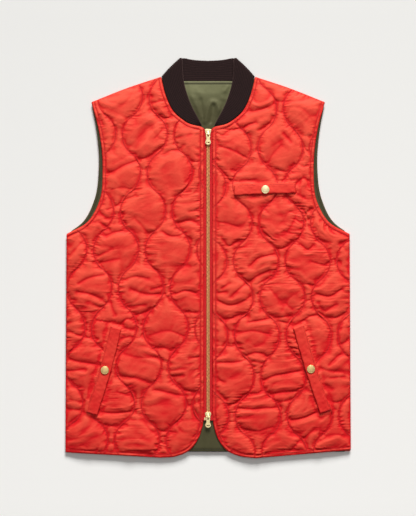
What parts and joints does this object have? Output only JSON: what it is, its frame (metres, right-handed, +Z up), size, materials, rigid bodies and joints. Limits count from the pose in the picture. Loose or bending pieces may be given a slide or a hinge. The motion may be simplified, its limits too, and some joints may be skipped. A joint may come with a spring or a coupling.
{
  "type": "puffer vest",
  "caption": "Quilted puffer vest laid flat, with a rib-knit collar, a two-way front zip, slanted side pockets and a chest pocket with snaps.",
  "frame": {"origin": "on the surface that the vest lies on, in the middle of its box", "axes": "+X towards the wearer's left, +Y towards the collar, +Z up from the surface, through the back and then the fronts"},
  "size_m": [0.5272, 0.7379, 0.0189],
  "materials": {
    "red_nylon": "smooth quilted nylon with a soft sheen",
    "olive_lining": "smooth satin lining",
    "brown_rib": "matte rib knit",
    "red_tape": "matte woven tape",
    "brass": "polished, slightly worn"
  },
  "bodies": {
    "garment": {"back_panel": "red_nylon", "back_lining": "olive_lining", "front_right": "red_nylon", "front_left": "red_nylon", "collar": "brown_rib", "zip_tape_right": "red_tape", "zip_tape_left": "red_tape", "zip_teeth_right": "brass", "zip_teeth_left": "brass", "zip_slider_top": "brass", "zip_slider_bottom": "brass", "zip_end_pin": "brass", "pocket_welt_right": "red_nylon", "pocket_welt_left": "red_nylon", "pocket_welt_chest": "red_nylon", "snap_right": "brass", "snap_left": "brass", "snap_chest": "brass"},
    "pull_top": {"zip_pull_top": "brass"},
    "pull_bottom": {"zip_pull_bottom": "brass"}
  },
  "joints": [
    {"name": "pull_top_hinge", "type": "hinge", "parent": "garment", "child": "pull_top", "pos_m": [0, 0.2287, 0.01295], "axis": [-1, 0, 0], "range_deg": [0, 150]},
    {"name": "pull_bottom_hinge", "type": "hinge", "parent": "garment", "child": "pull_bottom", "pos_m": [0, -0.2929, 0.01295], "axis": [-1, 0, 0], "range_deg": [0, 150]}
  ]
}
